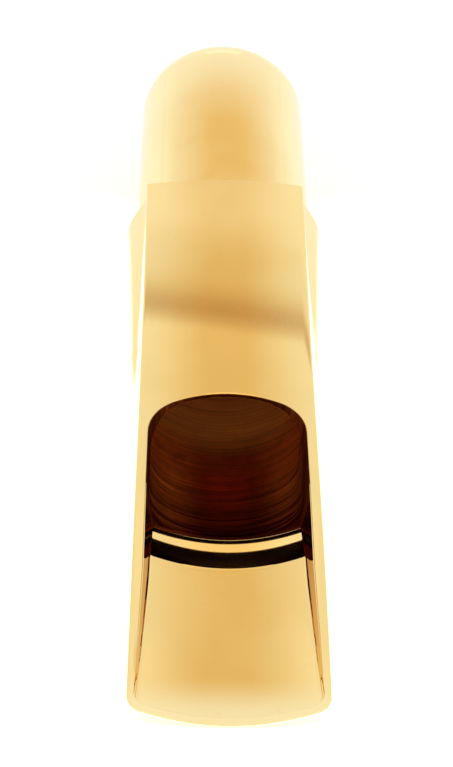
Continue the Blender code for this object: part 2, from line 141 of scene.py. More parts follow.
# Finish
EDGE_ROUND = 0.14
RAIL_ROUND = 0.09
HAIRLINE = 0.015
GLUE_WIDTH = 0.12
CLEAR = 2.0
RING_PITCH = 0.13
RING_DEPTH = 0.02
SMOOTH_ANGLE = math.radians(21.0)
TUBE_SEGMENTS = 128
SHANK_SEGMENTS = 256
STRAIGHT_UP = 90.0


def smooth(t):
    """Smooth step from 0 to 1 as t goes from 0 to 1."""
    t = np.clip(t, 0.0, 1.0)
    return t * t * (3.0 - 2.0 * t)


def to_world(points):
    """World metres of (x, station, height) rows in millimetres."""
    shifted = np.array(points, float) - (0.0, LENGTH / 2, 0.0)
    return shifted * MM


# ---------------------------------------------------------------- meshes

def mesh_from(name, vertices, faces, face_materials=None, materials=()):
    mesh = bpy.data.meshes.new(name)
    mesh.from_pydata(to_world(vertices).tolist(), [], faces)
    for material in materials:
        mesh.materials.append(material)
    if face_materials is not None:
        mesh.polygons.foreach_set("material_index", face_materials)
    shape = bmesh.new()
    shape.from_mesh(mesh)
    bmesh.ops.recalc_face_normals(shape, faces=shape.faces)
    shape.to_mesh(mesh)
    shape.free()
    thing = bpy.data.objects.new(name, mesh)
    bpy.context.scene.collection.objects.link(thing)
    return thing


def grid_faces(rows, columns, close_columns):
    """Quads over rows of points, each row a ring if the columns close."""
    faces = []
    last = columns if close_columns else columns - 1
    for row in range(rows - 1):
        for i in range(last):
            j = (i + 1) % columns
            near, far = row * columns, (row + 1) * columns
            faces.append((near + i, near + j, far + j, far + i))
    return faces


def loft(name, rings, flat_ends, ring_materials=None, materials=()):
    """Skin through rings whose second half mirrors the first, with closed ends."""
    count = len(rings[0])
    faces = grid_faces(len(rings), count, True)
    face_materials = None
    if ring_materials is not None:
        face_materials = [ring_materials[row] for row in range(len(rings) - 1)
                          for _ in range(count)]
    for start, flat, which in ((0, flat_ends[0], 0), ((len(rings) - 1) * count, flat_ends[1], -1)):
        if flat:
            caps = [tuple(start + i for i in range(count))]
        else:
            caps = [(start + i, start + i + 1, start + count - 2 - i, start + count - 1 - i)
                    for i in range(count // 2 - 1)]
        faces += caps
        if face_materials is not None:
            face_materials += [ring_materials[which]] * len(caps)
    return mesh_from(name, np.concatenate(rings), faces, face_materials, materials)


def stack(name, half_outline, levels, across=2, material=None):
    """Form stacked from a plan outline that is grown and lifted level by level.

    half_outline(growth) gives the right half from front to back, and each level is a
    growth with a function that gives the height at (x, station)."""
    rings = []
    for growth, height in levels:
        half = np.array(half_outline(growth))
        both = np.concatenate([half, half[::-1] * (-1.0, 1.0)])
        rings.append(np.column_stack([both, height(both[:, 0], both[:, 1])]))
    count = len(rings[0])
    vertices = list(np.concatenate(rings))
    faces = grid_faces(len(rings), count, True)
    for ring, (_, height) in ((0, levels[0]), (len(rings) - 1, levels[-1])):
        base = ring * count
        half = count // 2
        rows = []
        for i in range(half):
            x, station, _ = rings[ring][i]
            inner = []
            for t in np.linspace(1.0, -1.0, across)[1:-1]:
                inner.append(len(vertices))
                spot = np.array([t * x])
                vertices.append((t * x, station, float(height(spot, np.array([station]))[0])))
            rows.append([base + i] + inner + [base + count - 1 - i])
        for near, far in zip(rows, rows[1:]):
            for k in range(across - 1):
                faces.append((near[k], near[k + 1], far[k + 1], far[k]))
    materials = [material] if material else []
    return mesh_from(name, np.array(vertices), faces, None, materials)


def combined(name, blank, cutters):
    """Mesh of a blank after its Boolean steps, as a new object. The tools are removed."""
    for tool, operation in cutters:
        boolean = blank.modifiers.new(tool.name, "BOOLEAN")
        boolean.operation = operation
        boolean.object = tool
        boolean.solver = "EXACT"
        boolean.material_mode = "TRANSFER"
    graph = bpy.context.evaluated_depsgraph_get()
    mesh = bpy.data.meshes.new_from_object(blank.evaluated_get(graph))
    for used in [blank] + [tool for tool, _ in cutters]:
        bpy.data.objects.remove(used, do_unlink=True)
    mesh.name = name
    thing = bpy.data.objects.new(name, mesh)
    bpy.context.scene.collection.objects.link(thing)
    return thing


def shade(thing):
    thing.data.shade_smooth()
    thing.data.set_sharp_from_angle(angle=SMOOTH_ANGLE)
    return thing


def arc(centre, radius, start, end, count):
    angles = np.radians(np.linspace(start, end, count))
    return np.column_stack([centre[0] + radius * np.cos(angles),
                            centre[1] + radius * np.sin(angles)])


# ---------------------------------------------------------------- outer form of the body

def rail_height(station):
    lift_off = np.maximum(0.0, 1.0 - np.maximum(station, 0.0) / FACING_LENGTH)
    return TABLE_HEIGHT - TIP_OPENING * lift_off ** 2


def beak_height(station):
    station = np.maximum(np.asarray(station, float), 0.0)
    edge = np.maximum(0.0, 1.0 - station / TIP_CORNER)
    slope = BEAK_TOP - BEAK_SLOPE * station + TIP_EDGE_LIFT * edge ** 2
    bend = BEAK_SLOPE / (4 * BEAK_BLEND) * (BEAK_LENGTH + BEAK_BLEND - station) ** 2
    lower = np.where(station > BEAK_LENGTH + BEAK_BLEND, 0.0, bend)
    return np.where(station > BEAK_LENGTH - BEAK_BLEND, lower, slope)


def table_half(station):
    away = (station - WAIST_STATION) / (BODY_LENGTH - WAIST_STATION)
    return WAIST_HALF_WIDTH + (TABLE_HALF_WIDTH - WAIST_HALF_WIDTH) * away ** 2


def body_radius(station):
    taper = min(station / BEAK_LENGTH, 1.0)
    return BODY_RADIUS_AT_TIP + (BODY_RADIUS - BODY_RADIUS_AT_TIP) * taper


def flank(station, angles):
    """Points of the body's side at angles above the bore axis: round, then upright."""
    x = body_radius(station) * np.cos(angles)
    rise = body_radius(station) * np.sin(angles)
    upright = table_half(station)
    blended = (x + upright + np.hypot(x - upright, TABLE_EDGE_SOFTNESS * rise)) / 2
    return np.column_stack([np.where(angles > 0.0, blended, x), AXIS_HEIGHT + rise])


def crown(station, x):
    start = CROWN_AT_TIP + (1.0 - CROWN_AT_TIP) * smooth(station / CROWN_RUN)
    fade = 1.0 - smooth((station - BEAK_LENGTH + BEAK_BLEND) / (2 * BEAK_BLEND))
    return BEAK_CROWN * start * fade * (x / TABLE_HALF_WIDTH) ** 2


def beak_surface(x, station):
    return beak_height(station) + crown(station, x)


def resample(line, count, start_trim, end_trim):
    along = np.concatenate([[0.0], np.cumsum(np.hypot(*np.diff(line, axis=0).T))])
    wanted = np.linspace(start_trim, along[-1] - end_trim, count)
    return np.column_stack([np.interp(wanted, along, line[:, 0]),
                            np.interp(wanted, along, line[:, 1])])


def round_corner(before, corner, after, count):
    t = np.linspace(0.0, 1.0, count + 2)[1:-1, None]
    return (1 - t) ** 2 * before + 2 * t * (1 - t) * corner + t ** 2 * after


FLANK_SAMPLES = 1200
CENTRE_STEP = 0.12


def body_ring(station):
    """One section of the body, from the table round the right side and back up the left."""
    shape_station = max(station, 0.0)
    rail = float(rail_height(shape_station))
    top_angle = math.asin((rail - AXIS_HEIGHT) / body_radius(shape_station))
    side = flank(shape_station, np.linspace(top_angle, -math.pi / 2, FLANK_SAMPLES))
    above = side[:, 1] > beak_surface(side[:, 0], np.full(FLANK_SAMPLES, shape_station))
    side = side[:max(int(np.argmin(above)), 2)]
    corner_x = side[-1, 0]
    under_x = np.linspace(corner_x, 0.0, 60)
    under = np.column_stack([under_x, beak_surface(under_x, np.full(60, shape_station))])
    side_length = np.hypot(*np.diff(side, axis=0).T).sum()
    table_round = min(TABLE_EDGE_ROUND, 0.2 * side_length)
    beak_round = min(BEAK_EDGE, 0.4 * side_length, 0.22 * corner_x)
    table = np.array([(0.0, rail), side[0]])
    top = resample(table, 16, CENTRE_STEP, table_round)
    wall = resample(side, 60, table_round, beak_round)
    bottom = resample(under, 18, beak_round, CENTRE_STEP)
    half = np.concatenate([top, round_corner(top[-1], side[0], wall[0], 5), wall,
                           round_corner(wall[-1], side[-1], bottom[0], 8), bottom])
    both = np.concatenate([half, half[::-1] * (-1.0, 1.0)])
    return np.column_stack([both[:, 0], np.full(len(both), station), both[:, 1]])


def body_blank(name, material):
    tip = np.linspace(0.0, TIP_CORNER, 7)
    facing = np.linspace(TIP_CORNER, FACING_LENGTH, 40)[1:]
    beak = np.linspace(FACING_LENGTH, BEAK_LENGTH - BEAK_BLEND, 26)[1:]
    bend = np.linspace(BEAK_LENGTH - BEAK_BLEND, BEAK_LENGTH + BEAK_BLEND, 26)[1:]
    back = np.linspace(BEAK_LENGTH + BEAK_BLEND, BODY_LENGTH + 1.0, 12)[1:]
    stations = np.concatenate([[-1.0], tip, facing, beak, bend, back])
    rings = [body_ring(float(station)) for station in stations]
    return loft(name, rings, (True, True), [0] * len(rings), [material])


def end_bow(x):
    return TABLE_END_ARC - np.sqrt(TABLE_END_ARC ** 2 - np.square(x))


def plan_half(growth):
    """Right half of the body's plan: the tip's arc, its corner and the arched back end."""
    inner = TIP_ARC - TIP_CORNER
    corner_x = table_half(0.0) - TIP_CORNER
    corner_y = TIP_ARC - math.sqrt(inner ** 2 - corner_x ** 2)
    swing = math.degrees(math.asin(corner_x / inner))
    wide = BODY_RADIUS + CLEAR
    start = math.degrees(math.asin(CENTRE_STEP / TIP_ARC))
    front = arc((0.0, TIP_ARC), TIP_ARC + growth, -90 + start, -90 + swing, 40)
    corner = arc((corner_x, corner_y), TIP_CORNER + growth, -90 + swing, 0, 16)[1:]
    side = np.array([(table_half(0.0) + CLEAR, corner_y + CLEAR), (wide, BEAK_LENGTH)])
    x = np.linspace(wide, CENTRE_STEP, 60)
    fade = smooth((x - 1.5) / 3.0)
    back = np.column_stack([x, BODY_LENGTH - end_bow(x) + growth * fade])
    return np.concatenate([front, corner, side, back])


ROUND_STEPS = np.radians([0.0, 18.0, 36.0, 54.0, 70.0])


def plan_form():
    """Trims the blank to the plan, rounding the tip's and the back end's edges."""
    levels = [(-EDGE_ROUND, lambda x, y: np.full(len(x), -CLEAR))]
    for turn in ROUND_STEPS[::-1]:
        inset = EDGE_ROUND * (1.0 - math.cos(turn))
        rise = EDGE_ROUND * (1.0 - math.sin(turn))
        levels.append((-inset, lambda x, y, rise=rise: beak_surface(x, y) + rise))
    for turn in ROUND_STEPS:
        inset = EDGE_ROUND * (1.0 - math.cos(turn))
        rise = EDGE_ROUND * (1.0 - math.sin(turn))
        levels.append((-inset, lambda x, y, rise=rise: rail_height(y) - rise))
    levels.append((-EDGE_ROUND, lambda x, y: np.full(len(x), TABLE_HEIGHT + CLEAR)))
    return stack("body_plan", plan_half, levels)


# ---------------------------------------------------------------- air passage

def window_half(station):
    """Half width of the window where it meets the rails or the table."""
    narrowing = np.clip(station / WINDOW_FLARE_LENGTH, 0.0, 1.0)
    return WINDOW_HALF_AT_TIP + (WINDOW_HALF_WIDTH - WINDOW_HALF_AT_TIP) * narrowing


def wall_half(station, half, height):
    """Half width between the side walls at a height above the table, as they lean inward."""
    upright = smooth((station - LEDGE_END) / (BACK_START - 2.0 - LEDGE_END))
    rise = height - (rail_height(station) - TABLE_HEIGHT)
    return half + WALL_LEAN * (1.0 - upright) * rise


def passage_half(station):
    widening = smooth((station - WINDOW_LENGTH) / (CHAMBER_END - WINDOW_LENGTH))
    chamber = WINDOW_HALF_WIDTH + (CHAMBER_RADIUS - WINDOW_HALF_WIDTH) * widening
    throat = smooth((station - CHAMBER_END) / (THROAT_END - CHAMBER_END))
    behind = chamber + (BORE_RADIUS - CHAMBER_RADIUS) * throat
    return np.where(station < WINDOW_LENGTH, window_half(station), behind)


def chamber_depths(station):
    half = float(passage_half(station))
    round_height = half ** 2 / max(half, CHAMBER_RADIUS)
    sloping = TABLE_HEIGHT - float(beak_height(station)) - BEAK_WALL
    floor = min(sloping, SHANK_RADIUS + max(half, BORE_RADIUS))
    if station > CHAMBER_END:
        round_height = half
        floor = SHANK_RADIUS + half
    return half, floor - round_height, floor


def chamber_floor(station, x):
    half, level, floor = chamber_depths(station)
    side = np.minimum(np.abs(x) / half, 1.0)
    return -level - (floor - level) * np.sqrt(1.0 - side ** 2)


def chamber_ceiling(station, x):
    half, level, _ = chamber_depths(station)
    top = LIP_THICKNESS if station < CHAMBER_END else SHANK_RADIUS - half
    behind_window = float(smooth((station - WINDOW_LENGTH) / (CHAMBER_END - WINDOW_LENGTH)))
    power = LIP_ROUNDING + (2.0 - LIP_ROUNDING) * behind_window
    side = np.minimum(np.abs(x) / half, 1.0)
    return -level + (level - top) * (1.0 - side ** power) ** (1.0 / power)


def baffle_floor(station, x):
    """Baffle from the tip rail to the step: level at the rail, then a falling trough."""
    run = np.minimum(station / STEP_STATION, 1.0)
    eased = (np.hypot(run * STEP_STATION, BAFFLE_EASE) - BAFFLE_EASE) / STEP_STATION
    centre = BAFFLE_DEPTH_AT_TIP + (BAFFLE_DEPTH_AT_STEP - BAFFLE_DEPTH_AT_TIP) * eased
    half = wall_half(station, window_half(station), -centre)
    trough = BAFFLE_TROUGH * smooth(run) * (x / half) ** 2
    into_fillet = np.clip(np.abs(x) - (half - BAFFLE_FILLET), 0.0, BAFFLE_FILLET)
    fillet = BAFFLE_FILLET - np.sqrt(BAFFLE_FILLET ** 2 - into_fillet ** 2)
    return -centre + trough + fillet


def front_edge(x):
    inner = TIP_ARC - TIP_RAIL
    into_corner = np.maximum(0.0, np.abs(x) - (WINDOW_HALF_AT_TIP - WINDOW_CORNER))
    into_corner = np.minimum(into_corner, 0.97 * WINDOW_CORNER)
    corner = WINDOW_CORNER - np.sqrt(WINDOW_CORNER ** 2 - into_corner ** 2)
    return inner - np.sqrt(inner ** 2 - x ** 2) + corner


def step_bow(x):
    return STEP_BOW * (x / WINDOW_HALF_WIDTH) ** 2


PASSAGE_COLUMNS = np.sin(np.radians(np.linspace(-85.0, 85.0, 60)))
BACK_START = WINDOW_LENGTH - 5.5
LEDGE_END = STEP_STATION + STEP_ROUND_START


def passage_ring(x, stations, floors, ceilings):
    lower = np.column_stack([x, stations, TABLE_HEIGHT + floors])
    upper = np.column_stack([x, stations, TABLE_HEIGHT + ceilings])
    return np.concatenate([lower, upper[::-1]])


def open_ring(stations, floor_at, half, depth):
    """Ring with leaning walls that is open above the table."""
    middle = float(np.mean(stations))
    lower_x = PASSAGE_COLUMNS * float(wall_half(middle, half, -depth))
    upper_x = PASSAGE_COLUMNS * float(wall_half(middle, half, CLEAR))
    floors = floor_at(stations, lower_x)
    lower = np.column_stack([lower_x, stations, TABLE_HEIGHT + floors])
    upper = np.column_stack([upper_x, stations, np.full(len(upper_x), TABLE_HEIGHT + CLEAR)])
    return np.concatenate([lower, upper[::-1]])


def baffle_rings():
    rings = []
    near = np.linspace(TIP_RAIL, 3.0, 14)
    for start in np.concatenate([near, np.linspace(3.3, STEP_STATION, 40)]):
        front = max(0.0, 1.0 - (start - TIP_RAIL) / WINDOW_FRONT_BOW_LENGTH)
        back = float(smooth(start / STEP_STATION))
        half = float(window_half(start))
        x = PASSAGE_COLUMNS * half
        stations = start + front * front_edge(x) + back * step_bow(x)
        depth = -float(baffle_floor(start, 0.0))
        rings.append(open_ring(stations, baffle_floor, half, depth))
    return rings


def step_profile():
    """Run and drop behind the baffle's edge: a slope with a ledge in it, then a round fall."""
    points = []
    for run in np.linspace(0.0, STEP_ROUND_START, 61)[1:]:
        reached = (math.erf((run - LEDGE_CENTRE) / LEDGE_HALF_LENGTH)
                   + math.erf(LEDGE_CENTRE / LEDGE_HALF_LENGTH))
        saved = (STEP_SLOPE - LEDGE_SLOPE) * LEDGE_HALF_LENGTH * math.sqrt(math.pi) / 2 * reached
        points.append((run, STEP_SLOPE * run - saved))
    last_run, last_drop = points[-1]
    start = math.atan(STEP_SLOPE)
    for angle in np.linspace(start, math.radians(84.0), 34)[1:]:
        points.append((last_run + STEP_RADIUS * (math.sin(angle) - math.sin(start)),
                       last_drop + STEP_RADIUS * (math.cos(start) - math.cos(angle))))
    return points


def step_rings():
    rings = []
    half = WINDOW_HALF_WIDTH
    edge = np.full(len(PASSAGE_COLUMNS), STEP_STATION)
    for run, drop in step_profile():
        depth = min(BAFFLE_DEPTH_AT_STEP + drop, 2 * STEP_STATION)
        stations = STEP_STATION + run + step_bow(PASSAGE_COLUMNS * half)

        def fallen(at, x, drop=drop):
            bottom = np.array([chamber_floor(s, v) for s, v in zip(at, x)])
            return np.maximum(baffle_floor(edge, x) - drop, bottom)

        rings.append(open_ring(stations, fallen, half, depth))
    return rings


def chamber_rings():
    """Sections of the chamber and bore, scored by the boring tool's fine rings."""
    draw = np.random.default_rng(7)
    behind_step = STEP_STATION + step_profile()[-1][0] + STEP_BOW + 0.1
    stations = np.concatenate([np.arange(behind_step, BACK_START, RING_PITCH), [BACK_START - 0.02],
                               np.arange(BACK_START, SPIGOT_STATION + 1.0, RING_PITCH)])
    score = draw.uniform(-1.0, 1.0, len(stations)) * RING_DEPTH
    score *= 0.35 + 0.65 * smooth(np.abs(np.sin(stations * 1.7)))
    rings = []
    for station, score_depth in zip(stations, score):
        half, level, _ = chamber_depths(station)
        x = PASSAGE_COLUMNS * half
        groove = score_depth * (1.0 - np.abs(PASSAGE_COLUMNS) ** 6)
        if station < BACK_START:
            def scored(at, lower_x, groove=groove, x=x, station=station):
                return chamber_floor(station, x) - groove

            rings.append(open_ring(np.full(len(x), station), scored, half, level))
        else:
            floors = chamber_floor(station, x) - groove
            ceilings = chamber_ceiling(station, x) + groove * (station > CHAMBER_END)
            rings.append(passage_ring(x, np.full(len(x), station), floors, ceilings))
    return rings


def passage(polished, turned):
    front = baffle_rings() + step_rings()
    back = chamber_rings()
    unpolished = sum(1 for run, _ in step_profile() if run > STEP_ROUND_START + 0.1)
    kinds = [0] * (len(front) - unpolished) + [1] * (unpolished + len(back))
    return loft("air_passage", front + back, (False, True), kinds, [polished, turned])


def back_outline(half):
    """Right half of the window's back end: a round corner, then a shallow arc."""
    inner = WINDOW_BACK_ARC - WINDOW_BACK_CORNER
    centre_y = WINDOW_LENGTH - WINDOW_BACK_ARC
    corner_x = half - WINDOW_BACK_CORNER
    corner_y = centre_y + math.sqrt(inner ** 2 - corner_x ** 2)
    swing = math.degrees(math.asin(corner_x / inner))
    end = math.degrees(math.asin(CENTRE_STEP / WINDOW_BACK_ARC))
    corner = arc((corner_x, corner_y), WINDOW_BACK_CORNER, 0, 90 - swing, 20)
    back = arc((0.0, centre_y), WINDOW_BACK_ARC, 90 - swing, 90 - end, 30)[1:]
    return np.concatenate([corner, back])


def window_back(material):
    """Back end of the window: a shallow arc between round corners, cut straight down."""
    inset = 0.004
    half = WINDOW_HALF_WIDTH * PASSAGE_COLUMNS[-1] - inset

    def outline(growth):
        side = np.array([(half, BACK_START - 1.0)])
        return np.concatenate([side, back_outline(half)])

    low = TABLE_HEIGHT - WINDOW_WALL_DEPTH
    return stack("window_back", outline, [(0.0, lambda x, y: np.full(len(x), low)),
                                          (0.0, lambda x, y: np.full(len(x), TABLE_HEIGHT + CLEAR))],
                 material=material)


def window_edge(material):
    """Thin form that rounds the window's upper edge all the way round."""
    column = PASSAGE_COLUMNS[-1]

    def outline(growth):
        front_x = np.linspace(CENTRE_STEP, WINDOW_HALF_AT_TIP * column, 50)
        front = np.column_stack([front_x, TIP_RAIL + front_edge(front_x)])
        side_y = np.linspace(front[-1, 1] + 0.4, BACK_START - 1.0, 40)
        side = np.column_stack([window_half(side_y) * column, side_y])
        line = np.concatenate([front, side, back_outline(WINDOW_HALF_WIDTH * column)])
        steps = np.gradient(line, axis=0)
        outward = np.column_stack([steps[:, 1], -steps[:, 0]])
        outward /= np.hypot(*outward.T)[:, None]
        grown = line + outward * growth
        grown[0, 0] = line[0, 0]
        grown[-1, 0] = line[-1, 0]
        return grown

    levels = []
    for turn in ROUND_STEPS:
        growth = 0.003 + RAIL_ROUND * (1.0 - math.cos(turn))
        rise = RAIL_ROUND * (1.0 - math.sin(turn))
        levels.append((growth, lambda x, y, rise=rise: rail_height(y) - rise))
    levels.append((RAIL_ROUND, lambda x, y: rail_height(y) + 0.5 * RAIL_ROUND))
    return stack("window_edge", outline, levels, material=material)


# ---------------------------------------------------------------- bite plate

def plate_half(growth):
    """Right half of the plate's outline, from its front to its round back."""
    half = PLATE_HALF_WIDTH + growth
    corner = PLATE_CORNER + growth
    start = PLATE_START - growth
    corner_y = start + corner + PLATE_CORNER / 3
    front = np.array([(CENTRE_STEP, start)])
    side = arc((half - corner, corner_y), corner, -70, 0, 10)
    straight = np.column_stack([np.full(20, half), np.linspace(corner_y, PLATE_STRAIGHT, 22)[1:-1]])
    end = math.degrees(math.asin(CENTRE_STEP / half))
    back = arc((0.0, PLATE_STRAIGHT), half, 0, 90 - end, 30)
    return np.concatenate([front, side, straight, back]) * (1.0, math.cos(BEAK_ANGLE))


def plate_form(name, levels, across, material=None):
    """Form over the plate's outline, with levels as (growth, rise above the beak's face)."""
    made = [(growth, lambda x, y, rise=rise: beak_surface(x, y) + rise)
            for growth, rise in levels]
    return stack(name, plate_half, made, across, material)


# ---------------------------------------------------------------- materials

def new_material(name):
    material = bpy.data.materials.new(name)
    material.use_nodes = True
    tree = material.node_tree
    return material, tree, tree.nodes["Principled BSDF"]


def add(tree, kind, **values):
    node = tree.nodes.new(kind)
    for key, value in values.items():
        if key.startswith("_"):
            node.inputs[key[1:].replace("_", " ")].default_value = value
        else:
            setattr(node, key, value)
    return node


def math_node(tree, operation, first, second=None, clamp=False):
    node = add(tree, "ShaderNodeMath", operation=operation, use_clamp=clamp)
    for socket, value in zip(node.inputs, (first, second)):
        if value is None:
            continue
        if isinstance(value, (int, float)):
            socket.default_value = value
        else:
            tree.links.new(value, socket)
    return node.outputs[0]


def map_range(tree, value, low, high, to_low, to_high, kind="SMOOTHSTEP"):
    node = add(tree, "ShaderNodeMapRange", interpolation_type=kind)
    tree.links.new(value, node.inputs["Value"])
    for name, number in (("From Min", low), ("From Max", high),
                         ("To Min", to_low), ("To Max", to_high)):
        node.inputs[name].default_value = number
    return node.outputs["Result"]


def millimetres(tree, stretch=(1.0, 1.0, 1.0)):
    """Object coordinates in millimetres, stretched for a grain that runs one way."""
    coordinates = add(tree, "ShaderNodeTexCoord")
    mapping = add(tree, "ShaderNodeMapping")
    mapping.inputs["Scale"].default_value = [s / MM for s in stretch]
    tree.links.new(coordinates.outputs["Object"], mapping.inputs["Vector"])
    return mapping.outputs["Vector"]


def noise(tree, vector, scale, detail=3.0, roughness=0.5, distortion=0.0):
    node = add(tree, "ShaderNodeTexNoise", _Scale=scale, _Detail=detail, _Roughness=roughness,
               _Distortion=distortion)
    tree.links.new(vector, node.inputs["Vector"])
    return node.outputs["Fac"]


def mix_colour(tree, factor, first, second, blend="MIX"):
    node = add(tree, "ShaderNodeMix", data_type="RGBA", blend_type=blend)
    if isinstance(factor, (int, float)):
        node.inputs["Factor"].default_value = factor
    else:
        tree.links.new(factor, node.inputs["Factor"])
    for socket, value in ((node.inputs["A"], first), (node.inputs["B"], second)):
        if isinstance(value, tuple):
            socket.default_value = (*value, 1.0)
        else:
            tree.links.new(value, socket)
    return node.outputs["Result"]


def elevation_ramp(tree, factor, stops):
    """Brightness against elevation in degrees. A stop may be grey or a colour."""
    node = add(tree, "ShaderNodeValToRGB")
    tree.links.new(factor, node.inputs["Fac"])
    band = node.color_ramp
    band.interpolation = "LINEAR"
    while len(band.elements) > 1:
        band.elements.remove(band.elements[-1])
    for index, (degrees, *levels) in enumerate(stops):
        element = band.elements[0] if index == 0 else band.elements.new(degrees / STRAIGHT_UP)
        element.position = degrees / STRAIGHT_UP
        element.color = (*(levels * 3)[:3], 1.0)
    return node.outputs["Color"]


# Gold tones. The side and end golds are painted sheen; the underside gold and the wall brown are
# painted shade.
WARM_GOLD = (0.845, 0.505, 0.132)
SIDE_SHEEN_GOLD = (0.985, 0.750, 0.320)
END_SHEEN_GOLD = (0.985, 0.820, 0.440)
SHANK_SIDE_SHEEN_GOLD = (0.985, 0.830, 0.420)
UNDERSIDE_SHADE_GOLD = (0.79, 0.455, 0.115)
STAINED_GOLD = (0.62, 0.34, 0.10)
WALL_SHADE_BROWN = (0.46, 0.175, 0.028)

# Dull brass inside, darkest at the step and brightest in the bore. Painted shade darkens it towards
# the step, on the roof and high up; painted light brightens its sides and the bore.
STEP_SHADE_BRASS = (0.032, 0.0008, 0.0004)
BROWN_BRASS = (0.42, 0.062, 0.0060)
STEP_SHADE_SIDE = (0.040, 0.0020, 0.0008)
LIT_SIDE_BROWN = (0.95, 0.190, 0.022)
BORE_LIGHT_BRASS = (0.97, 0.36, 0.060)
BRASS_STAIN = (0.05, 0.006, 0.001)
ROOF_SHADE = (0.030, 0.0035, 0.0010)
UPPER_WALL_SHADE = (0.060, 0.0090, 0.0020)
STEP_SHADE_STATION = 27.0
SHADE_GONE_STATION = 44.0
DULL_START, DULL_END = 37.0, 42.0
BORE_LIGHT_START, BORE_LIGHT_END = 42.5, 47.6


def step_run(tree, split, step):
    """Distance past the bowed edge of the step."""
    aside = math_node(tree, "DIVIDE", split.outputs["X"], WINDOW_HALF_WIDTH)
    bowed = math_node(tree, "MULTIPLY", math_node(tree, "MULTIPLY", aside, aside), STEP_BOW)
    past = math_node(tree, "SUBTRACT", split.outputs["Y"], step)
    return math_node(tree, "SUBTRACT", past, bowed)


def polished_gold(name, roughness, grain, seed, painted_side_tint, sheen_ends, step=None):
    """Gold plate polished by hand: warm in the middle, with painted sheen that makes it paler at the
    sides and at the ends.

    Where a step's place is given, the plate is a little duller past it, and the upright walls beside
    it are painted a darker brown as painted shade.
    """
    material, tree, shader = new_material(name)
    shader.inputs["Metallic"].default_value = 1.0
    place = millimetres(tree)
    split = add(tree, "ShaderNodeSeparateXYZ")
    tree.links.new(place, split.inputs[0])
    across = math_node(tree, "ABSOLUTE", split.outputs["X"])
    # Painted sheen: the gold turns paler towards the sides, standing in for their bright reflections.
    side_sheen = map_range(tree, across, 0.8, 9.0, 0.0, 1.0)
    cloud = noise(tree, place, 0.11 + 0.01 * seed, 2.0)
    drift = map_range(tree, cloud, 0.3, 0.7, -0.08, 0.08)
    factor = math_node(tree, "ADD", side_sheen, drift, clamp=True)
    tint = mix_colour(tree, factor, WARM_GOLD, painted_side_tint)
    facing = add(tree, "ShaderNodeSeparateXYZ")
    tree.links.new(add(tree, "ShaderNodeNewGeometry").outputs["Normal"], facing.inputs[0])
    # Painted shade: faces that point downward are painted a darker, warmer gold.
    under = map_range(tree, facing.outputs["Z"], 0.06, -0.20, 0.0, 0.85)
    tint = mix_colour(tree, under, tint, UNDERSIDE_SHADE_GOLD)
    # Painted sheen: the gold turns paler towards the given ends, standing in for their bright
    # reflections.
    for start, end, amount in sheen_ends:
        end_sheen = map_range(tree, split.outputs["Y"], start, end, 0.0, amount)
        tint = mix_colour(tree, end_sheen, tint, END_SHEEN_GOLD)
    stain = map_range(tree, noise(tree, place, 0.9, 6.0, 0.65), 0.58, 0.78, 0.0, 0.10)
    tint = mix_colour(tree, stain, tint, STAINED_GOLD)
    if step:
        run = step_run(tree, split, step)
        here = map_range(tree, run, 0.05, 0.20, 0.0, 1.0)
        for value, start, end in ((run, STEP_ROUND_START + 0.7, STEP_ROUND_START + 0.6),
                                  (across, WINDOW_HALF_WIDTH + 0.3, WINDOW_HALF_WIDTH),
                                  (split.outputs["Z"], TABLE_HEIGHT - BAFFLE_DEPTH_AT_STEP + 0.4,
                                   TABLE_HEIGHT - BAFFLE_DEPTH_AT_STEP),
                                  (facing.outputs["Z"], 0.2, 0.5)):
            here = math_node(tree, "MULTIPLY", here, map_range(tree, value, start, end, 0.0, 1.0))
        # Painted shade: the upright inner walls towards the step are painted a darker brown.
        upright = math_node(tree, "ABSOLUTE", facing.outputs["X"])
        sheer = map_range(tree, upright, 0.45, 0.85, 0.0, 0.9)
        inner = map_range(tree, across, WINDOW_HALF_AT_TIP + 0.25, WINDOW_HALF_AT_TIP - 0.05,
                          0.0, 1.0)
        tipward = map_range(tree, split.outputs["Y"], step - WINDOW_FLARE_LENGTH, step, 0.25, 1.0)
        wall = math_node(tree, "MULTIPLY", math_node(tree, "MULTIPLY", sheer, inner), tipward)
        tint = mix_colour(tree, wall, tint, WALL_SHADE_BROWN)
    tree.links.new(tint, shader.inputs["Base Color"])

    fine = noise(tree, millimetres(tree, grain), 1.0, 4.0, 0.6)
    hairs = noise(tree, millimetres(tree, (grain[1], grain[0], grain[2])), 0.6, 3.0, 0.6)
    smear = noise(tree, place, 0.35, 3.0)
    rough = map_range(tree, smear, 0.25, 0.75, roughness * 0.75, roughness * 1.3, "LINEAR")
    rough = math_node(tree, "ADD", rough, map_range(tree, fine, 0.55, 0.8, 0.0, 0.06))
    if step:
        rough = math_node(tree, "ADD", rough, math_node(tree, "MULTIPLY", here, 0.05))
    tree.links.new(rough, shader.inputs["Roughness"])

    height = math_node(tree, "ADD", fine, math_node(tree, "MULTIPLY", hairs, 0.35))
    bump = add(tree, "ShaderNodeBump", _Strength=0.12, _Distance=0.0006 * MM)
    tree.links.new(height, bump.inputs["Height"])
    tree.links.new(bump.outputs["Normal"], shader.inputs["Normal"])
    return material


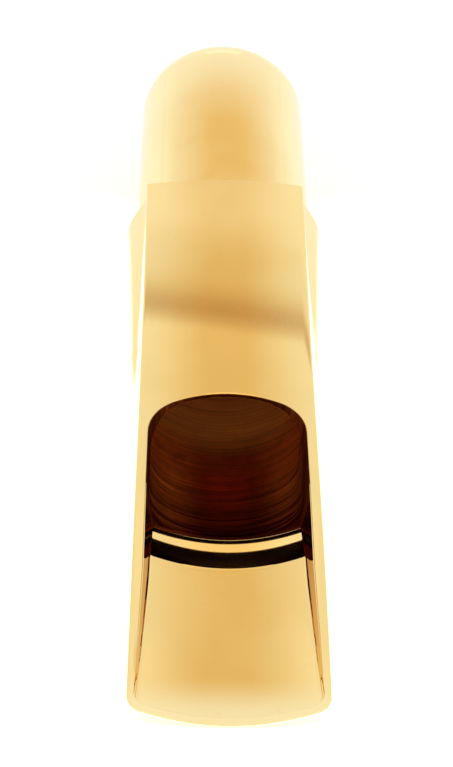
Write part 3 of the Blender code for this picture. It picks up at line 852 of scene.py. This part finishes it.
def turned_brass(name, seed):
    """Unpolished inside: dull warm metal, ringed by the boring tool, with painted shade that makes it
    dark near the step.
    """
    material, tree, shader = new_material(name)
    place = millimetres(tree)
    split = add(tree, "ShaderNodeSeparateXYZ")
    tree.links.new(place, split.inputs[0])
    facing = add(tree, "ShaderNodeSeparateXYZ")
    tree.links.new(add(tree, "ShaderNodeNewGeometry").outputs["Normal"], facing.inputs[0])
    rings = noise(tree, millimetres(tree, (0.05, 4.0, 0.05)), 1.0, 5.0, 0.7)
    coarse = noise(tree, millimetres(tree, (0.08, 1.1, 0.08)), 1.0, 3.0, 0.6)
    stains = noise(tree, place, 0.28 + 0.02 * seed, 5.0, 0.6, 0.4)
    tip = -LENGTH / 2
    along = split.outputs["Y"]
    # Painted shade: the brass is painted near black at the step, fading out towards the bore.
    step_shade_fade = map_range(tree, along, tip + STEP_SHADE_STATION, tip + SHADE_GONE_STATION, 0.0, 1.0)
    both = math_node(tree, "ADD", rings, coarse)
    ringed = map_range(tree, both, 0.75, 1.25, -0.22, 0.22, "LINEAR")
    factor = math_node(tree, "ADD", step_shade_fade, ringed, clamp=True)
    tint = mix_colour(tree, factor, STEP_SHADE_BRASS, BROWN_BRASS)
    # Painted light: the sides of the inside are painted a brighter brown than the middle.
    aside = math_node(tree, "ABSOLUTE", math_node(tree, "SUBTRACT", split.outputs["X"], 0.5))
    beside = map_range(tree, aside, 2.2, 6.2, 0.0, 1.0)
    painted_side_tint = mix_colour(tree, factor, STEP_SHADE_SIDE, LIT_SIDE_BROWN)
    tint = mix_colour(tree, beside, tint, painted_side_tint)
    tint = mix_colour(tree, map_range(tree, stains, 0.45, 0.75, 0.0, 0.35), tint, BRASS_STAIN)
    # Painted shade: inside faces that point downward are painted near black.
    roof = map_range(tree, facing.outputs["Z"], -0.25, -0.55, 0.0, 0.9)
    tint = mix_colour(tree, roof, tint, ROOF_SHADE)
    # Painted light: from the throat back, all but the roof is painted a bright brass.
    painted_bore_light = map_range(tree, along, tip + BORE_LIGHT_START, tip + BORE_LIGHT_END, 0.0, 1.0)
    painted_bore_light = math_node(tree, "MULTIPLY", painted_bore_light, math_node(tree, "SUBTRACT", 1.0, roof))
    tint = mix_colour(tree, painted_bore_light, tint, BORE_LIGHT_BRASS)
    # Painted shade: the inside is painted darker the higher it stands.
    upper_shade = map_range(tree, split.outputs["Z"], 12.5, 17.0, 0.0, 0.75)
    tint = mix_colour(tree, upper_shade, tint, UPPER_WALL_SHADE)
    # The boring tool's rings are also painted into the colour as lighter and darker lines: painted
    # glints along the rings.
    ring_glint = map_range(tree, rings, 0.3, 0.7, 0.58, 1.42, "LINEAR")
    tint = mix_colour(tree, 0.85, tint, mix_colour(tree, 1.0, tint, ring_glint, "MULTIPLY"))
    tree.links.new(tint, shader.inputs["Base Color"])
    tarnish = math_node(tree, "MAXIMUM", beside,
                        map_range(tree, along, tip + DULL_START, tip + DULL_END, 0.0, 1.0))
    tarnish = math_node(tree, "MULTIPLY", tarnish, math_node(tree, "SUBTRACT", 1.0, roof))
    bare = map_range(tree, tarnish, 0.0, 1.0, 0.60, 0.05, "LINEAR")
    tree.links.new(bare, shader.inputs["Metallic"])
    shader.inputs["Specular IOR Level"].default_value = 0.0
    shader.inputs["Specular Tint"].default_value = (0.12, 0.015, 0.004, 1.0)
    rough = map_range(tree, rings, 0.3, 0.7, 0.26, 0.46, "LINEAR")
    tree.links.new(rough, shader.inputs["Roughness"])
    height = math_node(tree, "ADD", rings, math_node(tree, "MULTIPLY", coarse, 0.7))
    bump = add(tree, "ShaderNodeBump", _Strength=0.7, _Distance=0.03 * MM)
    tree.links.new(height, bump.inputs["Height"])
    tree.links.new(bump.outputs["Normal"], shader.inputs["Normal"])
    return material


def hard_rubber(name):
    """Moulded black rubber, satin, with fine wear from the teeth."""
    material, tree, shader = new_material(name)
    place = millimetres(tree)
    wear = noise(tree, place, 0.45, 5.0, 0.6)
    tint = mix_colour(tree, map_range(tree, wear, 0.4, 0.75, 0.0, 1.0), (0.012, 0.011, 0.011),
                      (0.035, 0.031, 0.028))
    tree.links.new(tint, shader.inputs["Base Color"])
    tree.links.new(map_range(tree, wear, 0.3, 0.7, 0.30, 0.52, "LINEAR"), shader.inputs["Roughness"])
    scratches = noise(tree, millimetres(tree, (9.0, 0.7, 0.7)), 1.0, 4.0, 0.65)
    bump = add(tree, "ShaderNodeBump", _Strength=0.25, _Distance=0.01 * MM)
    tree.links.new(scratches, bump.inputs["Height"])
    tree.links.new(bump.outputs["Normal"], shader.inputs["Normal"])
    return material


def cured_glue(name):
    material, tree, shader = new_material(name)
    place = millimetres(tree)
    mottle = noise(tree, place, 2.0, 3.0)
    tint = mix_colour(tree, mottle, (0.05, 0.035, 0.02), (0.12, 0.08, 0.04))
    tree.links.new(tint, shader.inputs["Base Color"])
    shader.inputs["Roughness"].default_value = 0.35
    return material


# ---------------------------------------------------------------- pieces

def make_body(polished, turned):
    blank = body_blank("body_blank", polished)
    pocket = plate_form("plate_pocket", [(GLUE_WIDTH, -CLEAR), (GLUE_WIDTH, PLATE_POCKET_DEPTH)], 9,
                        turned)
    socket_start = SPIGOT_STATION - HAIRLINE
    socket = tube_form("spigot_socket", SPIGOT_RADIUS + HAIRLINE, socket_start,
                       BODY_LENGTH + CLEAR, turned)
    body = combined("mouthpiece_body", blank,
                    [(plan_form(), "INTERSECT"), (passage(polished, turned), "DIFFERENCE"),
                     (window_back(turned), "DIFFERENCE"), (window_edge(polished), "DIFFERENCE"),
                     (socket, "DIFFERENCE"), (pocket, "DIFFERENCE")])
    return shade(body)


def tube_form(name, radius, start, end, material):
    turn = np.linspace(0.0, 2 * math.pi, TUBE_SEGMENTS + 1)[:-1]
    rings = [np.column_stack([radius * np.sin(turn), np.full(TUBE_SEGMENTS, station),
                              AXIS_HEIGHT + radius * np.cos(turn)]) for station in (start, end)]
    return loft(name, rings, (True, True), [0, 0], [material])


def make_shank(polished, turned):
    """Neck tube as one turned skin: outside, rounded end, bore and the hidden spigot."""
    start = BODY_LENGTH + HAIRLINE
    round_start = LENGTH - END_ROUND_LENGTH
    chamfer = 0.35
    profile = [(SPIGOT_RADIUS, start, 1.0, 0), (SHANK_RADIUS, start, 1.0, 0)]
    for station in np.linspace(start, round_start, 26)[1:]:
        profile.append((SHANK_RADIUS, station, max(0.0, 1.0 - (station - start) / 8.0), 0))
    for turn in np.radians(np.linspace(0.0, 90.0, 19)[1:]):
        radius = SHANK_RADIUS - END_ROUND_DEPTH * (1.0 - math.cos(turn))
        profile.append((radius, round_start + END_ROUND_LENGTH * math.sin(turn), 0.0, 0))
    profile.append((BORE_RADIUS + chamfer, LENGTH, 0.0, 0))
    profile.append((BORE_RADIUS, LENGTH - chamfer, 0.0, 0))
    for station in np.linspace(LENGTH - chamfer, SPIGOT_STATION, 60)[1:]:
        profile.append((BORE_RADIUS, station, 0.0, 1))
    profile.append((SPIGOT_RADIUS, SPIGOT_STATION, 0.0, 1))

    turn = np.linspace(0.0, 2 * math.pi, SHANK_SEGMENTS + 1)[:-1]
    rings = []
    for radius, station, bow, _ in profile:
        x = radius * np.sin(turn)
        rings.append(np.column_stack([x, station - bow * end_bow(x),
                                      AXIS_HEIGHT + radius * np.cos(turn)]))
    rings.append(rings[0])
    vertices = np.concatenate(rings[:-1])
    faces = []
    kinds = []
    for row, (_, _, _, kind) in enumerate(profile):
        following = (row + 1) % len(profile)
        for i in range(SHANK_SEGMENTS):
            j = (i + 1) % SHANK_SEGMENTS
            faces.append((row * SHANK_SEGMENTS + i, row * SHANK_SEGMENTS + j,
                          following * SHANK_SEGMENTS + j, following * SHANK_SEGMENTS + i))
            kinds.append(kind)
    shank = mesh_from("mouthpiece_shank", vertices, faces, kinds, [polished, turned])
    return shade(shank)


def make_plate(rubber):
    edge = 0.15
    levels = [(-edge, 0.0), (-0.3 * edge, 0.3 * edge), (0.0, edge), (0.0, PLATE_POCKET_DEPTH - 0.1)]
    return shade(plate_form("bite_plate_pad", levels, 25, rubber))


def make_glue(glue):
    levels = [(GLUE_WIDTH - 0.01, 0.08), (GLUE_WIDTH - 0.01, PLATE_POCKET_DEPTH - 0.05)]
    return shade(plate_form("bite_plate_glue", levels, 25, glue))


def make_braze(polished):
    """Fine fillet of braze where the neck tube enters the body's end face."""
    radius = 0.16
    open_half = math.radians(38.0)
    curve = bpy.data.curves.new("braze_seam", "CURVE")
    curve.dimensions = "3D"
    curve.bevel_depth = radius * MM
    curve.bevel_resolution = 4
    curve.use_fill_caps = True
    turns = np.linspace(open_half, 2 * math.pi - open_half, 120)
    x = (SHANK_RADIUS + 0.3 * radius) * np.sin(turns)
    points = to_world(np.column_stack([x, BODY_LENGTH - end_bow(x) + 0.2 * radius,
                                       AXIS_HEIGHT + (SHANK_RADIUS + 0.3 * radius) * np.cos(turns)]))
    spline = curve.splines.new("POLY")
    spline.points.add(len(points) - 1)
    for point, place, turn in zip(spline.points, points, turns):
        point.co = (*place, 1.0)
        point.radius = float(smooth((math.pi - abs(turn - math.pi) - open_half) / 0.35)) + 0.05
    seam = bpy.data.objects.new("braze_seam", curve)
    bpy.context.scene.collection.objects.link(seam)
    curve.materials.append(polished)
    return seam


# ---------------------------------------------------------------- stage

def make_floor():
    """White floor that glows beside the body, so that it lights the flanks."""
    size = 3.0
    mesh = bpy.data.meshes.new("floor")
    mesh.from_pydata([(-size, -size, 0.0), (size, -size, 0.0), (size, size, 0.0), (-size, size, 0.0)],
                     [], [(0, 1, 2, 3)])
    floor = bpy.data.objects.new("floor", mesh)
    floor.location.z = -0.03 * MM
    bpy.context.scene.collection.objects.link(floor)
    material, tree, shader = new_material("white_floor")
    shader.inputs["Base Color"].default_value = (0.86, 0.86, 0.86, 1.0)
    shader.inputs["Roughness"].default_value = 0.9
    shader.inputs["Emission Color"].default_value = (1.0, 1.0, 1.0, 1.0)
    place = add(tree, "ShaderNodeTexCoord").outputs["Object"]
    split = add(tree, "ShaderNodeSeparateXYZ")
    tree.links.new(place, split.inputs[0])
    outward = math_node(tree, "ABSOLUTE", split.outputs["X"])
    spread = map_range(tree, outward, 0.011, 0.030, 0.9, 3.2)
    near_body = map_range(tree, split.outputs["Y"], 0.046, 0.030, 0.0, 1.0)
    glow = math_node(tree, "ADD", math_node(tree, "MULTIPLY", spread, near_body), 0.15)
    tree.links.new(glow, shader.inputs["Emission Strength"])
    mesh.materials.append(material)


# Brightness of the studio by elevation in degrees: the side that the table mirrors, with its
# dim warm seam near 42 degrees and a dimmer band near 75, and all the other sides
FAR_SIDE = [(0.0, 1.04), (14.0, 1.02), (18.0, 1.15), (26.5, 1.15), (30.0, 1.0), (36.0, 0.985),
            (38.6, 1.0), (39.4, 0.98), (40.1, 0.93), (41.2, 0.90), (41.55, 0.87, 0.83, 0.78),
            (41.9, 0.79, 0.71, 0.62),
            (42.2, 0.70, 0.58, 0.49), (42.7, 0.66, 0.53, 0.44), (42.82, 0.70, 0.60, 0.52),
            (43.0, 0.90, 0.86, 0.82), (43.25, 0.97), (45.0, 0.94), (50.0, 0.93), (56.0, 0.99),
            (64.0, 1.0), (70.0, 0.97), (73.0, 0.90), (74.6, 0.80), (76.4, 0.83), (78.0, 1.0),
            (90.0, 1.05)]
ALL_ROUND = [(0.0, 1.04), (12.0, 1.0), (30.0, 1.0), (36.0, 0.985), (45.0, 0.93), (70.0, 0.95),
             (90.0, 1.05)]


def make_world():
    """White studio, nearly even all round, with its dim seams on the side that the table mirrors."""
    world = bpy.data.worlds.new("studio")
    bpy.context.scene.world = world
    world.use_nodes = True
    tree = world.node_tree
    background = tree.nodes["Background"]
    direction = add(tree, "ShaderNodeTexCoord").outputs["Generated"]
    split = add(tree, "ShaderNodeSeparateXYZ")
    tree.links.new(direction, split.inputs[0])
    x, y, z = split.outputs
    level = math_node(tree, "SQRT", math_node(tree, "ADD", math_node(tree, "MULTIPLY", x, x),
                                              math_node(tree, "MULTIPLY", y, y)))
    level = math_node(tree, "MAXIMUM", level, 0.001)
    sideways = math_node(tree, "DIVIDE", x, level)
    forward = math_node(tree, "DIVIDE", y, level)
    elevation = math_node(tree, "MULTIPLY", math_node(tree, "ARCSINE", z), 2.0 / math.pi)
    seam_tilt = 4.6 / STRAIGHT_UP
    tilted = math_node(tree, "SUBTRACT", elevation, math_node(tree, "MULTIPLY", sideways, seam_tilt))
    front = elevation_ramp(tree, tilted, FAR_SIDE)
    around = elevation_ramp(tree, elevation, ALL_ROUND)
    facing = map_range(tree, forward, 0.96, 0.985, 0.0, 1.0)
    light = mix_colour(tree, facing, around, front)
    beside = map_range(tree, math_node(tree, "ABSOLUTE", sideways), 0.45, 0.8, 0.0, 1.0)
    low_down = map_range(tree, elevation, 2.0 / STRAIGHT_UP, 16.0 / STRAIGHT_UP, 1.0, 0.0)
    light = mix_colour(tree, math_node(tree, "MULTIPLY", beside, low_down), light, (1.08, 1.08, 1.08))
    rays = add(tree, "ShaderNodeLightPath")
    light = mix_colour(tree, rays.outputs["Is Camera Ray"], light, (1.2, 1.2, 1.2))
    tree.links.new(light, background.inputs["Color"])


def make_light():
    """One large soft box straight above."""
    lamp = bpy.data.lights.new("soft_box", "AREA")
    lamp.shape = "DISK"
    lamp.size = 0.5
    lamp.energy = 1.5
    box = bpy.data.objects.new("soft_box", lamp)
    box.location = (0.0, -0.2, 1.2)
    box.rotation_euler = (-0.16, 0.0, 0.0)
    bpy.context.scene.collection.objects.link(box)


def make_camera():
    camera = bpy.data.cameras.new("camera")
    camera.sensor_width = 36.0
    camera.lens = 70.16
    camera.clip_start = 0.005
    thing = bpy.data.objects.new("camera", camera)
    pitch, yaw, roll = (math.radians(a) for a in (45.35, 1.70, 1.846))
    forward = Vector((math.sin(yaw) * math.cos(pitch), math.cos(yaw) * math.cos(pitch),
                      -math.sin(pitch)))
    right = Vector((math.cos(yaw), -math.sin(yaw), 0.0))
    up = right.cross(forward)
    right, up = (right * math.cos(roll) + up * math.sin(roll),
                 up * math.cos(roll) - right * math.sin(roll))
    thing.matrix_world = Matrix.Translation(Vector((-3.01, -111.60, 122.40)) * MM) @ Matrix(
        (right, up, -forward)).transposed().to_4x4()
    bpy.context.scene.collection.objects.link(thing)
    bpy.context.scene.camera = thing


def build():
    tip = -LENGTH / 2
    neck = LENGTH / 2
    polished = polished_gold("polished_gold_body", 0.025, (7.0, 0.5, 7.0), 1, SIDE_SHEEN_GOLD,
                             [(tip + 4.8, tip + 1.0, 0.85), (tip + 53.0, tip + 61.0, 0.22)],
                             tip + STEP_STATION)
    polished_tube = polished_gold("polished_gold_shank", 0.06, (0.5, 7.0, 0.5), 2, SHANK_SIDE_SHEEN_GOLD,
                                  [(neck - 17.0, neck - 1.0, 1.0), (neck - 24.0, neck - 30.0, 0.15)])
    turned = turned_brass("turned_inside", 1)
    pieces = [(make_body(polished, turned), "body", "gold_plate_body"),
              (make_shank(polished_tube, turned), "shank", "gold_plate_shank"),
              (make_plate(hard_rubber("black_hard_rubber")), "bite_plate", "hard_rubber"),
              (make_glue(cured_glue("cured_glue")), None, "hard_rubber"),
              (make_braze(polished_tube), None, "gold_plate_shank")]
    for piece, node, slot in pieces:
        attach(piece, "root")
        if node:
            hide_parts(node)
    make_floor()
    make_world()
    make_light()
    make_camera()
    bpy.context.scene.view_settings.view_transform = "Standard"


build()
